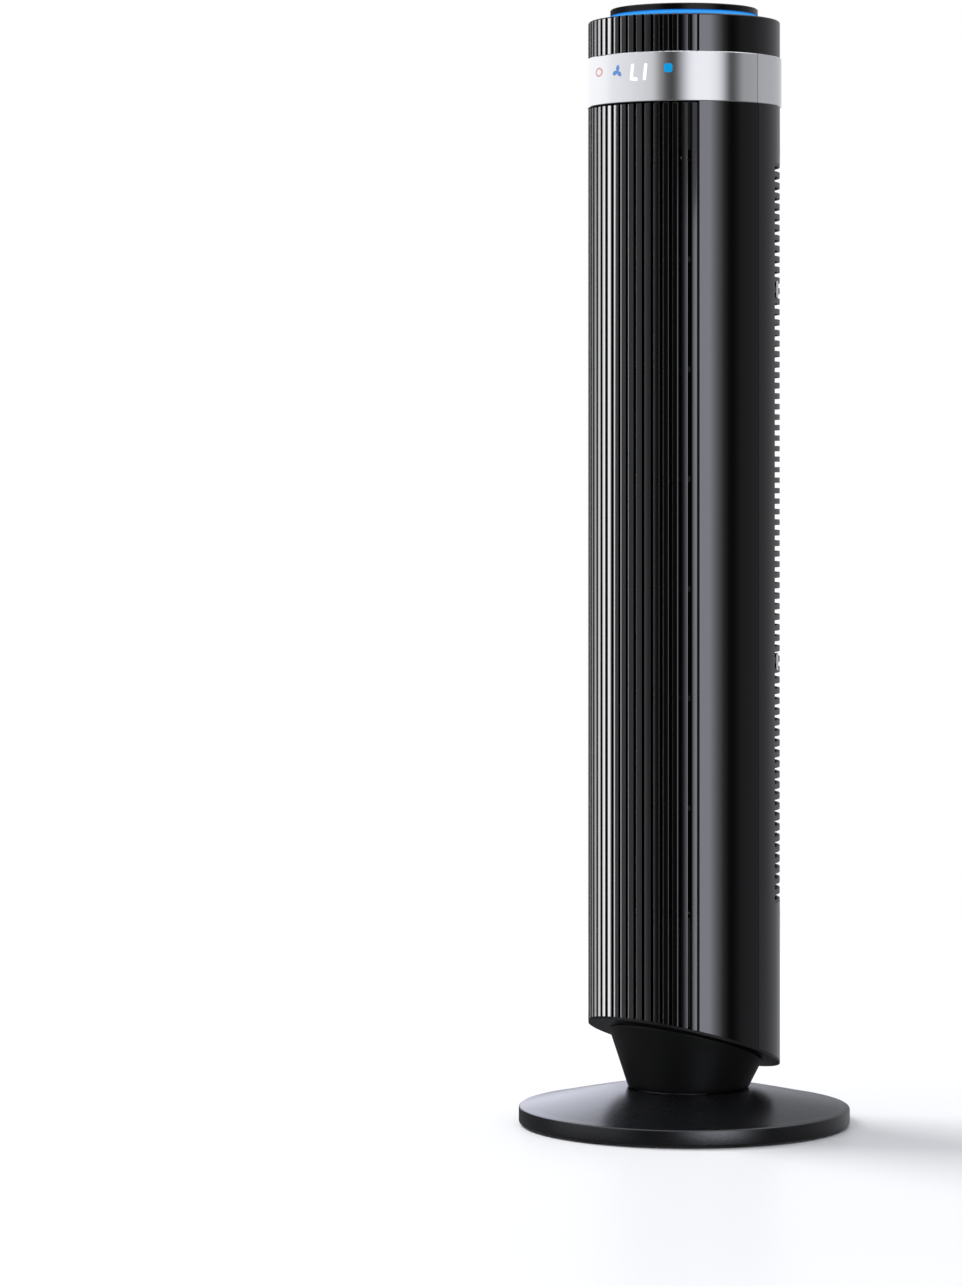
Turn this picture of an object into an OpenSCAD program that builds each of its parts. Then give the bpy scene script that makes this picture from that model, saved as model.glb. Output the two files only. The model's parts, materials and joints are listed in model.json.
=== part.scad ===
// Tower fan on a round base. The front faces -Y, and the origin is on the floor under the tower's axis.

/* [Base] */
// Diameter of the base disc
base_d = 302; // [296:1:310]
// Height of the base disc's rim
rim_h = 16.6; // [16:0.1:17.5]
// Height of the flat crown under the neck
crown_h = 33.6; // [33.4:0.1:33.8]
// Number of rubber feet, and of the screws between them
foot_n = 6; // [4:1:8]
// Number of balls in the swivel bearing
ball_n = 16; // [10:1:20]

/* [Tower] */
// Diameter of the tower
tower_d = 175; // [174:0.5:176]
// Height of the tower's top edge
tower_top = 1006; // [1006:1:1040]
// Height of the slanted underside on the tower's axis
cut_h = 73.75; // [73:0.25:76]
// Angle of the slanted underside
cut_deg = 18.3; // [17.5:0.1:19]
// Angle at which the neck leans back
lean_deg = 7; // [6:0.5:7]
// Thickness of the shells
wall = 2.5; // [2.3:0.1:2.5]

/* [Grilles] */
// Number of upright fins in the front grille
fin_n = 17; // [12:1:18]
// Width of a fin's face
fin_w = 5.4; // [4:0.2:5.8]
// Half of the angle that the front grille spans
front_half = 48; // [46:0.2:50]
// Half of the angle that the rear grille spans
rear_half = 71; // [68:1:72]
// Number of slots, one above the other, in the rear grille
slot_n = 70; // [40:1:76]
// Number of upright ribs in the rear grille
rib_n = 5; // [5:2:13]

/* [Band and top] */
// Height of the silver band's lower edge
band_low = 927.3; // [925:0.1:929]
// Height of the silver band's upper edge
band_high = 971.8; // [971.5:0.1:975]
// How far the band stands out of the tower
band_proud = 1.4; // [1:0.1:1.8]
// Diameter of the control disc
disc_d = 134.7; // [132:0.1:138]
// Travel of a push button
button_travel = 0.8; // [0.4:0.1:0.8]

/* [Fan] */
// Diameter of the cross-flow impeller
impeller_d = 90; // [84:1:92]
// Number of blades
blade_n = 36; // [24:1:40]
// Number of rows of blades, one above the other
stage_n = 7; // [5:1:9]

/* [Swing drive] */
// Teeth of the fixed gear, a multiple of 4
gear_teeth = 48; // [48:4:48]
// Teeth of the pinion
pinion_teeth = 12; // [12:4:12]

/* [Hidden] */
$fn = 96;

// Gap left between pieces that don't touch, and play of a shaft in its bearing
gap = 0.4;
play = 0.05;
far = 400;

// Base
base_r = base_d / 2;
base_edge = 3;
base_wall = 2.8;
skirt_z = 2;
crown_r = 62;
plate_z = 2.4;
plate_top = 5;
base_screw_r = 125;
foot_ring_r = 132;
foot_r = 9;
peg_r = 3;
weight_r = [60, 118];
weight_top = 14;
inlet_z = 9.4;
inlet_r = 3.6;

// Swivel bearing: the races lie in a well in the crown
race_r = 41.5;
race_half = 5.5;
ball_r = 2.5;
ball_z = 29;
well_z = 24.6;
well_r = 49;
well_wall = 2.5;
groove_r = ball_r + 0.1;
race_gap = 1.4;
swivel_z = 34;
swivel_t = 3;
swivel_r = 48;

// Pivot post and swing drive
post_r = 9;
post_bore = 6;
post_top = 52;
flange_r = 24;
flange_top = 8;
post_screw_r = 17;
hub_r = 14;
hub_z = [30, 41];
gear_m = 1;
gear_z = [41.5, 47.5];
gear_hub_top = 49.2;
clip_t = 1;
mesh_slack = 0.12;
gear_r = gear_m * gear_teeth / 2;
pinion_r = gear_m * pinion_teeth / 2;
mesh_d = gear_r + pinion_r + mesh_slack;
pinion_shaft_r = 2.5;
bracket_z = 49.6;
bracket_t = 1.6;
column_x = 22;
column_y = -20;
column_r = 3.4;
swing_can_r = 19;
swing_can_y = -32;
swing_can_top = 65;
small_screw_r = 1.5;
screw_hole_r = 1.6;
screw_head_r = 3;
screw_head_t = 1.8;

// Neck: a cone that leans back round a point on the tower's axis
neck_z = crown_h + 0.6;
neck_wall = 2.6;
neck_pivot_z = 6.7;
neck_r0 = 43.35;
neck_slope = 0.42;
neck_len = 100;
neck_flange_r = 38;
neck_flange_top = 39.6;
neck_screw_r = 43;
lug_r = 7;
lug_len = 9;
lug_ring_r = 63.5;
lug_shift = 1.5;

// Tower
tower_r = tower_d / 2;
shell_in = tower_r - wall;
inner_r = shell_in - gap;
lip_t = 2.4;
cover_t = 3;
side_half = 89;
seam = 0.15;
cap_z = band_high + 0.3;
cap_edge = 2;
grille_top = band_low - 1;
intake_z = [204.7, 875.3];
slot_pitch = (intake_z[1] - intake_z[0]) / slot_n;
bar_h = slot_pitch / 2;
bar_out = tower_r - 0.2;
bar_in = tower_r - 2.6;
rib_in = tower_r - 4.4;
rib_w = 2.2;
rib_deg = rib_w * 180 / (PI * bar_in);
fin_out = tower_r - 0.2;
fin_in = tower_r - 8.5;
fin_corner = 0.8;
fin_pitch = 2 * front_half / fin_n;
hoop_in = fin_in - 1;
hoop_out = fin_in + 2;
hoop_h = 5;
hoop_n = 6;
strip_deg = 3;
front_clear_r = hoop_in - 0.6;
clip_pad_z = [423, 761.2];
clip_pad_deg = 114;
pad_deg = 2.8;
pad_h = 16;

// Band and display
band_r = tower_r + band_proud;
band_in = tower_r + 0.1;
band_edge = 0.6;
band_half = 87;
sign_z = 956.8;
fan_z = 955.4;
digit_z = 953.9;
sign_out = band_r + 0.05;
sign_in = shell_in;
sign_gap = 0.1;
digit_deg = [8.9, 15.9];
digit_w = 8;
digit_h = 15;
digit_lean = 6;
bar_w = 3;
LIT_BARS = [
    [[-(digit_w - bar_w) / 2, 0, bar_w, digit_h], [0, -(digit_h - bar_w) / 2, digit_w, bar_w]],
    [[0, 0, bar_w, digit_h]]
];
bar_corner = 1;
ring_deg = -20.8;
ring_sign_r = [2.6, 4.1];
ring_stretch = 1.6;
fan_deg = -3.4;
fan_sign_r = 6.2;
lamp_deg = 29.9;
lamp_size = [7.4, 7.8];
lamp_corner = 2;
window_deg = 34;
window_z = [943, 964];
board_t = 1.6;
display_y = -72;
display_half = 30;
display_z = [930, 971.5];
display_post = [24, 934, 968];

// Duct, impeller and motor
duct_bottom = [190, 196];
duct_top = [884, 890];
impeller_r = impeller_d / 2;
impeller_z = [200, 878];
rotor_disc_t = 2;
blade_depth = 9;
blade_t = 1.1;
blade_turn = 24;
boss_r = 9;
boss_h = 9;
shaft_r = 4;
scroll_t = 1.8;
scroll_from = [-150, 48.5];
scroll_to = [-55, 74];
tongue_from = [82, 48.5];
tongue_to = [55, 74];
motor_z = [128, 182];
motor_r = 36;
motor_wall = 2;
motor_flange_r = 46;
stator_r = [21, 33.9];
stator_z = [142, 170];
coil_h = 6;
rotor_r = 20.5;
bush_r = 6.5;
bush_h = 7;
cushion_r = 5;
motor_screw_r = 41;
motor_fix_n = 4;
top_bush_r = 8.9;
main_board_x = 42;
main_board_y = 52;
main_board_z = [92, 178];
lug_x = 34;

// Top
disc_r = disc_d / 2;
ring_z = [tower_top, tower_top + 5.3];
disc_z = [tower_top + 5.5, tower_top + 11.2];
disc_t = 4;
disc_skirt = 6.2;
disc_bevel = 0.8;
deck_t = 3.5;
deck_hole_r = 52;
board_r = 60;
switch_h = 1;
switch_half = 3;
button_proud = 0.8;
button_top = disc_z[1] + button_proud;
button_flange_t = 1;
button_flange_w = 1.3;
button_gap = 0.3;
button_ring_r = 36;
side_button_r = 8;
power_button_r = 10;
stem_r = 2.2;
BUTTONS = [[0, 0, power_button_r], [button_ring_r, 0, side_button_r], [button_ring_r, 90, side_button_r],
    [button_ring_r, 180, side_button_r], [button_ring_r, 270, side_button_r]];

// Helpers ------------------------------------------------------------------

function arc_points(x, y, r, from, to, n) =
    [for (i = [0:n]) let (a = from + (to - from) * i / n) [x + r * cos(a), y + r * sin(a)]];

module disc(r, z) { translate([0, 0, z[0]]) cylinder(r = r, h = z[1] - z[0]); }

module ring(r_in, r_out, z) {
    difference() {
        disc(r_out, z);
        disc(r_in, [z[0] - 1, z[1] + 1]);
    }
}

// A part of a ring. Angles are counted from the front, positive towards +X
module arc_wall(from, to, r_in, r_out, z) {
    rotate([0, 0, from - 90])
        rotate_extrude(angle = to - from)
            translate([r_in, z[0]]) square([r_out - r_in, z[1] - z[0]]);
}

module mirrored() {
    children();
    mirror([1, 0, 0]) children();
}

// Places things on the tower's side: their +Z points outwards and their +Y up
module on_side(angle, r, z) {
    rotate([0, 0, angle]) translate([0, -r, z]) rotate([90, 0, 0]) children();
}

module around(n, r, first = 0) {
    for (i = [0:n - 1]) rotate([0, 0, first + i * 360 / n]) translate([r, 0, 0]) children();
}

// Everything below, or above, the slanted underside raised by lift
module below_cut(lift = 0) {
    translate([0, 0, cut_h + lift]) rotate([-cut_deg, 0, 0])
        translate([-far / 2, -far / 2, -far]) cube(far);
}

module above_cut(lift = 0) {
    translate([0, 0, cut_h + lift]) rotate([-cut_deg, 0, 0])
        translate([-far / 2, -far / 2, 0]) cube(far);
}

// A countersunk screw whose head's top is at z = 0 and whose shank points down
module countersunk_screw(len) {
    translate([0, 0, -screw_head_t])
        cylinder(r1 = small_screw_r, r2 = screw_head_r, h = screw_head_t);
    translate([0, 0, -len]) cylinder(r = small_screw_r, h = len - screw_head_t / 2);
}

module countersunk_hole(len) {
    translate([0, 0, -screw_head_t - 0.1])
        cylinder(r1 = screw_hole_r, r2 = screw_head_r + 0.2, h = screw_head_t + 0.2);
    translate([0, 0, -len - 1]) cylinder(r = screw_hole_r, h = len + 1);
}

// Base ---------------------------------------------------------------------

function dome_z(t) = crown_h - (crown_h - rim_h) * pow(t, 1.15);

function dome_points(r_out, drop, n) =
    [for (i = [0:n]) let (t = 1 - i / n) [crown_r + (r_out - crown_r) * t, dome_z(t) - drop]];

module base_solid() {
    rotate_extrude()
        polygon(concat(
            [[0, skirt_z]],
            arc_points(base_r - 1, skirt_z + 1, 1, -90, 0, 3),
            arc_points(base_r - base_edge, rim_h - base_edge, base_edge, 0, 78, 5),
            dome_points(base_r - base_edge, 0, 10),
            [[0, crown_h]]));
}

module base_hollow() {
    rotate_extrude()
        polygon(concat(
            [[0, skirt_z - 1], [base_r - base_wall, skirt_z - 1]],
            dome_points(base_r - base_wall, base_wall, 10),
            [[0, crown_h - base_wall]]));
}

module base_shell() {
    color("#17181a") difference() {
        union() {
            difference() {
                base_solid();
                base_hollow();
            }
            disc(well_r + well_wall, [well_z - well_wall, crown_h]);
            intersection() {
                base_solid();
                around(foot_n, base_screw_r) disc(4.5, [plate_top, crown_h]);
            }
        }
        disc(well_r, [well_z, crown_h + 1]);
        disc(race_r - race_half - 4, [0, crown_h]);
        around(foot_n, base_screw_r) disc(screw_hole_r, [plate_top - 1, weight_top]);
        translate([0, base_r - base_wall - 4, inlet_z]) rotate([-90, 0, 0])
            cylinder(r = inlet_r + 0.1, h = 20);
    }
}

module base_bottom_plate() {
    color("#202124") difference() {
        disc(base_r - base_wall - 0.6, [plate_z, plate_top]);
        around(foot_n, base_screw_r) translate([0, 0, plate_z]) mirror([0, 0, 1])
            countersunk_hole(plate_top);
        around(foot_n, foot_ring_r, 180 / foot_n) disc(peg_r + 0.1, [0, plate_top + 1]);
        around(4, post_screw_r) translate([0, 0, plate_z]) mirror([0, 0, 1])
            countersunk_hole(plate_top);
    }
}

module base_weight() {
    color("#3a3b3e") difference() {
        ring(weight_r[0], weight_r[1], [plate_top, weight_top]);
        around(foot_n, base_screw_r) disc(9, [0, weight_top + 1]);
    }
}

module rubber_feet() {
    color("#0c0c0d") around(foot_n, foot_ring_r, 180 / foot_n) {
        disc(foot_r, [0, plate_z]);
        disc(peg_r, [plate_z / 2, plate_top + 0.6]);
    }
}

module base_screws() {
    color("#b9bcc0") around(foot_n, base_screw_r) translate([0, 0, plate_z]) mirror([0, 0, 1])
        countersunk_screw(10);
}

module cord_inlet() {
    color("#101011") translate([0, base_r - 1, inlet_z]) rotate([90, 0, 0]) difference() {
        union() {
            cylinder(r = inlet_r, h = 7);
            translate([0, 0, 2.2]) cylinder(r = inlet_r + 0.6, h = 2);
        }
        translate([0, 0, -1]) cylinder(r = inlet_r - 1, h = 10);
    }
}

module pivot_post() {
    color("#9a9da1") difference() {
        union() {
            disc(flange_r, [plate_top, flange_top]);
            disc(post_r, [plate_top, post_top]);
        }
        disc(post_bore, [0, post_top + 1]);
        around(4, post_screw_r) disc(screw_hole_r, [0, flange_top + 1]);
        ring(post_r - 1, post_r + 1, [gear_hub_top + 0.1, gear_hub_top + 0.3 + clip_t]);
    }
}

module post_screws() {
    color("#b9bcc0") around(4, post_screw_r) translate([0, 0, plate_z]) mirror([0, 0, 1])
        countersunk_screw(flange_top - plate_z);
}

// Gears --------------------------------------------------------------------

function involute(a) = tan(a) * 180 / PI - a;

function tooth_half(r, teeth) =
    let (pitch_r = gear_m * teeth / 2, base = pitch_r * cos(20))
    90 / teeth - mesh_slack * 90 / (PI * pitch_r) + involute(20) - involute(acos(min(1, base / r)));

function tooth_points(teeth, turn) =
    let (pitch_r = gear_m * teeth / 2, low = pitch_r - 1.25 * gear_m, high = pitch_r + 0.85 * gear_m, n = 6)
    [for (side = [-1, 1]) for (i = [0:n])
        let (t = side < 0 ? i / n : 1 - i / n, r = low + (high - low) * t,
            a = turn + side * tooth_half(r, teeth))
        [r * cos(a), r * sin(a)]];

module gear_outline(teeth, turn = 0) {
    polygon([for (i = [0:teeth - 1]) each tooth_points(teeth, turn + i * 360 / teeth)]);
}

module fixed_gear() {
    color("#e8e6df") difference() {
        union() {
            translate([0, 0, gear_z[0]]) linear_extrude(gear_z[1] - gear_z[0])
                gear_outline(gear_teeth, 180 / gear_teeth);
            disc(post_r + 4, [gear_z[0], gear_hub_top]);
        }
        disc(post_r + play, [0, post_top]);
    }
}

module gear_clip() {
    color("#8c8f93") difference() {
        ring(post_r - 0.9, post_r + 4, [gear_hub_top + 0.2, gear_hub_top + 0.2 + clip_t]);
        translate([-3, 0, gear_hub_top]) cube([6, 20, clip_t * 3]);
    }
}

module swing_pinion() {
    color("#e8e6df") translate([0, -mesh_d, 0]) {
        translate([0, 0, gear_z[0] + 0.3]) linear_extrude(gear_z[1] - gear_z[0] - 0.6)
            gear_outline(pinion_teeth);
        disc(pinion_shaft_r, [gear_z[0] + 0.3, bracket_z + 10]);
    }
}

// Swivel bearing -------------------------------------------------------------

module ball_groove() { rotate_extrude() translate([race_r, ball_z]) circle(r = groove_r); }

module lower_race() {
    color("#aeb1b5") difference() {
        ring(race_r - race_half, race_r + race_half, [well_z, ball_z - race_gap]);
        ball_groove();
    }
}

module upper_race() {
    color("#aeb1b5") difference() {
        ring(race_r - race_half, race_r + race_half, [ball_z + race_gap, swivel_z]);
        ball_groove();
    }
}

module ball_cage() {
    color("#d8d2bf") difference() {
        ring(race_r - 4, race_r + 4, [ball_z - 1, ball_z + 1]);
        around(ball_n, race_r) disc(groove_r, [ball_z - 2, ball_z + 2]);
    }
}

module bearing_balls() {
    color("#c9ccd0") around(ball_n, race_r) translate([0, 0, ball_z]) sphere(r = ball_r);
}

// Neck ---------------------------------------------------------------------

module neck_cone(inset) {
    translate([0, 0, neck_pivot_z]) rotate([-lean_deg, 0, 0])
        cylinder(r1 = neck_r0 - inset, r2 = neck_r0 - inset + neck_slope * neck_len, h = neck_len);
}

// Places its children at the four lugs that join the neck to the tower's bottom
module at_lugs() {
    translate([0, 0, cut_h]) rotate([-cut_deg, 0, 0]) translate([0, lug_shift, 0])
        around(4, lug_ring_r, 45) children();
}

module neck_lugs(r, len) {
    at_lugs() translate([0, 0, -len]) cylinder(r = r, h = len + 1);
}

module neck_shell() {
    color("#141416") difference() {
        neck_cone(0);
        difference() {
            neck_cone(neck_wall);
            neck_lugs(lug_r, lug_len);
            disc(tower_r, [0, neck_flange_top]);
        }
        disc(tower_r, [0, neck_z]);
        disc(swivel_r + 0.2, [0, swivel_z + swivel_t]);
        disc(neck_flange_r, [0, far / 2]);
        neck_lugs(screw_hole_r, lug_len - 2);
        around(4, neck_screw_r, 45) disc(screw_hole_r, [0, neck_flange_top + 1]);
        above_cut(-0.3);
    }
}

module swivel_plate() {
    color("#26272a") difference() {
        union() {
            disc(swivel_r, [swivel_z, swivel_z + swivel_t]);
            disc(hub_r, hub_z);
            mirrored() translate([column_x, column_y, 0]) disc(column_r, [swivel_z, bracket_z]);
        }
        disc(post_r + play, [0, post_top]);
        mirrored() translate([column_x, column_y, 0]) disc(screw_hole_r, [bracket_z - 8, bracket_z + 1]);
        around(4, neck_screw_r, 45) disc(screw_hole_r, [0, swivel_z + swivel_t + 1]);
        translate([0, 28, 0]) disc(5, [0, post_top]);
    }
}

// Screws that hold the neck to the swivel plate, and the tower's bottom to the neck
module neck_screws() {
    color("#b9bcc0") {
        around(4, neck_screw_r, 45) {
            disc(small_screw_r, [swivel_z + 0.2, neck_flange_top + 1]);
            disc(screw_head_r, [neck_flange_top, neck_flange_top + screw_head_t]);
        }
        at_lugs() {
            disc(small_screw_r, [3 - lug_len, cover_t + 1]);
            disc(screw_head_r, [cover_t, cover_t + screw_head_t]);
        }
    }
}

// Swing motor --------------------------------------------------------------

module swing_motor_bracket() {
    color("#8f9296") difference() {
        translate([-26, swing_can_y - 12, bracket_z]) cube([52, 29, bracket_t]);
        translate([0, -mesh_d, 0]) disc(4.4, [0, far]);
        mirrored() translate([column_x, column_y, 0]) disc(screw_hole_r, [0, far]);
        mirrored() translate([column_x, swing_can_y, 0]) disc(screw_hole_r, [0, far]);
    }
}

module swing_motor() {
    low = bracket_z + bracket_t;
    color("#b4b6b9") difference() {
        union() {
            translate([0, swing_can_y, 0]) disc(swing_can_r, [low, swing_can_top]);
            translate([0, -mesh_d, 0]) disc(4.2, [bracket_z, low + 1]);
            mirrored() translate([16, swing_can_y - 4, low]) cube([9.5, 8, bracket_t]);
        }
        translate([0, -mesh_d, 0]) disc(pinion_shaft_r + play, [bracket_z - 1, bracket_z + 10.4]);
        mirrored() translate([column_x, swing_can_y, 0]) {
            disc(screw_hole_r, [0, far]);
            disc(screw_head_r + 0.2, [low + bracket_t, low + 6]);
        }
    }
}

module swing_motor_screws() {
    low = bracket_z + bracket_t;
    color("#b9bcc0") mirrored() {
        translate([column_x, column_y, 0]) {
            disc(small_screw_r, [bracket_z - 7, low + 1]);
            disc(screw_head_r, [low, low + screw_head_t]);
        }
        translate([column_x, swing_can_y, 0]) {
            disc(small_screw_r, [bracket_z - 1, low + bracket_t + 1]);
            disc(screw_head_r, [low + bracket_t, low + bracket_t + screw_head_t]);
        }
    }
}

// Tower shells -------------------------------------------------------------

module bottom_cover() {
    color("#18191b") difference() {
        union() {
            intersection() {
                disc(tower_r - 0.1, [0, far / 2]);
                above_cut();
                below_cut(lip_t);
            }
            intersection() {
                disc(front_clear_r, [0, far / 2]);
                above_cut();
                translate([0, 0, cut_h]) rotate([-cut_deg, 0, 0])
                    translate([-far / 2, -far / 2, 0]) cube([far, far, cover_t]);
            }
        }
        disc(16, [0, far]);
        at_lugs() disc(screw_hole_r, [-1, cover_t + 1]);
    }
}

module front_shell() {
    half = side_half - seam;
    color("#0e0e10") difference() {
        union() {
            arc_wall(-half, half, shell_in, tower_r, [0, band_high]);
            mirrored() arc_wall(side_half - 3, half - 0.2, shell_in - 3, shell_in + 0.5,
                [duct_bottom[1] + 1, duct_top[0] - 1]);
            intersection() {
                display_corners() cylinder(r = 3.2, h = 14);
                disc(shell_in + 1, [0, tower_top]);
            }
        }
        arc_wall(-front_half - seam, front_half + seam, shell_in - 1, tower_r + 1, [-1, band_low + 0.4]);
        below_cut(lip_t);
        arc_wall(-window_deg, window_deg, shell_in - 1, tower_r + 1, window_z);
        display_corners() translate([0, 0, -1]) cylinder(r = screw_hole_r, h = 7);
    }
}

module fin_outline() {
    polygon(concat(
        [[fin_in, -fin_w / 4]],
        arc_points(fin_out - fin_corner, fin_corner - fin_w / 2, fin_corner, -90, -15, 3),
        arc_points(fin_out - fin_corner, fin_w / 2 - fin_corner, fin_corner, 15, 90, 3),
        [[fin_in, fin_w / 4]]));
}

module fins(z) {
    for (i = [0:fin_n - 1]) rotate([0, 0, -90 - front_half + (i + 0.5) * fin_pitch])
        translate([0, 0, z[0]]) linear_extrude(z[1] - z[0]) fin_outline();
}

// The grille's back: hoops along the duct, and closed above and below it
module grille_back(z) {
    half = front_half + strip_deg - 0.3;
    arc_wall(-half, half, hoop_in, hoop_out, z);
}

module front_grille() {
    hoop_step = (duct_top[0] - duct_bottom[1]) / (hoop_n + 1);
    color("#101012") difference() {
        union() {
            fins([0, grille_top]);
            for (i = [1:hoop_n]) let (z = duct_bottom[1] + i * hoop_step - hoop_h / 2)
                grille_back([z, z + hoop_h]);
            grille_back([cut_h / 4, duct_bottom[1]]);
            grille_back([duct_top[0], grille_top - 1]);
            mirrored() arc_wall(front_half - 0.4, front_half + strip_deg, hoop_out - 1, inner_r,
                [0, grille_top]);
        }
        below_cut(lip_t + 0.2);
    }
}

module rear_shell() {
    color("#0e0e10") difference() {
        arc_wall(side_half + seam, 360 - side_half - seam, shell_in, tower_r, [0, band_high]);
        arc_wall(180 - rear_half, 180 + rear_half, shell_in - 1, tower_r + 1, intake_z);
        below_cut(lip_t);
        shell_screw_places() countersunk_hole(10);
    }
}

module shell_screw_places() {
    for (z = [(duct_bottom[0] + duct_bottom[1]) / 2, (duct_top[0] + duct_top[1]) / 2])
        for (a = [130, 180, 230]) on_side(a, tower_r, z) children();
}

module shell_screws() { color("#2a2b2e") shell_screw_places() countersunk_screw(9); }

module grille_screw_places() {
    for (z = clip_pad_z) for (a = [clip_pad_deg, 360 - clip_pad_deg]) on_side(a, bar_out, z) children();
}

module rear_grille() {
    half = rear_half - 0.2;
    low = intake_z[0] + 0.2;
    high = intake_z[1] - 0.2;
    color("#131315") difference() {
        union() {
            rotate([0, 0, 90 - half]) rotate_extrude(angle = 2 * half) {
                for (i = [0:slot_n]) let (
                    z0 = max(low, intake_z[0] + i * slot_pitch - bar_h / 2),
                    z1 = min(high, intake_z[0] + i * slot_pitch + bar_h / 2))
                    translate([bar_in, z0]) square([bar_out - bar_in, z1 - z0]);
            }
            for (i = [0:rib_n - 1]) let (a = 180 - half + i * (2 * half - rib_deg) / (rib_n - 1))
                arc_wall(a, a + rib_deg, rib_in, bar_in + 0.6, [low, high]);
            for (z = clip_pad_z) for (a = [clip_pad_deg, 360 - clip_pad_deg])
                arc_wall(a - pad_deg, a + pad_deg, rib_in, bar_out, [z - pad_h / 2, z + pad_h / 2]);
        }
        grille_screw_places() countersunk_hole(10);
    }
}

module grille_screws() { color("#303236") grille_screw_places() countersunk_screw(7); }

// Band and display ---------------------------------------------------------

module band(from, to) {
    rotate([0, 0, from - 90]) rotate_extrude(angle = to - from) polygon([
        [band_in, band_low], [band_r - band_edge, band_low], [band_r, band_low + band_edge],
        [band_r, band_high - band_edge], [band_r - band_edge, band_high], [band_in, band_high]]);
}

module band_front() {
    color("#b9bbbe") difference() {
        band(-band_half + seam, band_half - seam);
        digits(sign_gap);
        ring_marks(sign_gap);
        fan_marks(sign_gap);
        lamp(sign_gap);
    }
}

module band_rear() { color("#b9bbbe") band(band_half + seam, 360 - band_half - seam); }

// A light guide that fills its own opening in the band and follows the band's curve
module inlay(angle, z, grow) {
    intersection() {
        on_side(angle, sign_in, z) linear_extrude(sign_out) children();
        disc(sign_out + grow, [band_low, band_high]);
    }
}

module rounded(w, h, r) {
    square([w - 2 * r, h], center = true);
    square([w, h - 2 * r], center = true);
    for (x = [-1, 1]) for (y = [-1, 1])
        translate([x * (w / 2 - r), y * (h / 2 - r)]) circle(r = r);
}

// The lit bars of one digit, given as [x, y, width, height]
module bars(lit, grow) {
    for (b = lit) translate([b[0], b[1]])
        rounded(b[2] + 2 * grow, b[3] + 2 * grow, bar_corner + grow);
}

module digits(grow) {
    for (i = [0, 1]) inlay(digit_deg[i], digit_z, grow) rotate(-digit_lean) bars(LIT_BARS[i], grow);
}

module oval(r, grow) {
    polygon([for (i = [0:5:355]) [(r * ring_stretch + grow) * cos(i), (r + grow) * sin(i)]]);
}

module ring_marks(grow) {
    inlay(ring_deg, sign_z, grow) difference() {
        oval(ring_sign_r[1], grow);
        oval(ring_sign_r[0], -grow);
    }
}

// Three pointed oval blades about a hub
module fan_marks(grow) {
    inlay(fan_deg, fan_z, grow) {
        circle(r = fan_sign_r / 4 + grow);
        for (a = [80, 200, 320]) rotate(a) translate([fan_sign_r / 2, 0]) intersection_for(y = [-1, 1])
            translate([0, y * fan_sign_r / 4]) circle(r = fan_sign_r * 0.56 + grow);
    }
}

module lamp(grow) {
    inlay(lamp_deg, sign_z, grow)
        rounded(lamp_size[0] + 2 * grow, lamp_size[1] + 2 * grow, lamp_corner + grow);
}

module digit_lights() { color("#f4f8ff") digits(0); }
module ring_sign() { color("#e07a6a") ring_marks(0); }
module fan_sign() { color("#2aa0e8") fan_marks(0); }
module signal_lamp() { color("#0f9fe6") lamp(0); }

// Places at the corners of the display board, with +Z towards the front
module display_corners() {
    for (x = [-1, 1]) for (z = [display_post[1], display_post[2]])
        translate([x * display_post[0], display_y, z]) rotate([90, 0, 0]) children();
}

module display_board() {
    color("#1d5a33") difference() {
        translate([-display_half, display_y, display_z[0]])
            cube([2 * display_half, board_t, display_z[1] - display_z[0]]);
        display_corners() translate([0, 0, -5]) cylinder(r = screw_hole_r, h = 10);
    }
}

// Duct ---------------------------------------------------------------------

// A wall whose radius runs evenly from one [angle, radius] to another
module spiral_wall(from, to, thick) {
    n = 16;
    path = [for (i = [0:n]) let (a = from[0] + (to[0] - from[0]) * i / n - 90,
        r = from[1] + (to[1] - from[1]) * pow(i / n, 1.4)) [r, a]];
    translate([0, 0, duct_bottom[1]]) linear_extrude(duct_top[0] - duct_bottom[1])
        polygon(concat(
            [for (p = path) [p[0] * cos(p[1]), p[0] * sin(p[1])]],
            [for (i = [n:-1:0]) let (p = path[i], r = p[0] + thick) [r * cos(p[1]), r * sin(p[1])]]));
}

module scroll_wall() { color("#1b1c1e") spiral_wall(scroll_from, scroll_to, scroll_t); }
module vortex_tongue() { color("#1b1c1e") spiral_wall(tongue_from, tongue_to, scroll_t); }

module duct_plate(z) {
    difference() {
        disc(inner_r, z);
        arc_wall(-front_half - strip_deg - 1, front_half + strip_deg + 1, front_clear_r, tower_r,
            [z[0] - 1, z[1] + 1]);
        shell_screw_places() translate([0, 0, -14]) cylinder(r = screw_hole_r, h = 14);
    }
}

module duct_bottom_plate() {
    color("#1f2022") difference() {
        union() {
            duct_plate(duct_bottom);
            mirrored() translate([lug_x - 5, main_board_y - 6, duct_bottom[0] - 20]) cube([10, 6, 20]);
        }
        disc(bush_r + 6, [0, far]);
        around(motor_fix_n, motor_screw_r, 45) disc(screw_hole_r + 0.4, [0, far]);
        main_board_corners() translate([0, 0, -9]) cylinder(r = screw_hole_r, h = 8);
    }
}

module duct_top_plate() {
    color("#1f2022") difference() {
        duct_plate(duct_top);
        disc(top_bush_r + 0.1, [0, far * 3]);
    }
}

// Drive motor --------------------------------------------------------------

module motor_case() {
    color("#a7aaae") difference() {
        union() {
            disc(motor_r, motor_z);
            disc(motor_flange_r, [motor_z[1] - motor_wall, motor_z[1]]);
        }
        disc(motor_r - motor_wall, [motor_z[0] + motor_wall, motor_z[1] - motor_wall]);
        disc(bush_r + 0.02, [0, far]);
        around(motor_fix_n, motor_screw_r, 45) disc(screw_hole_r, [0, far]);
    }
}

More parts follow.
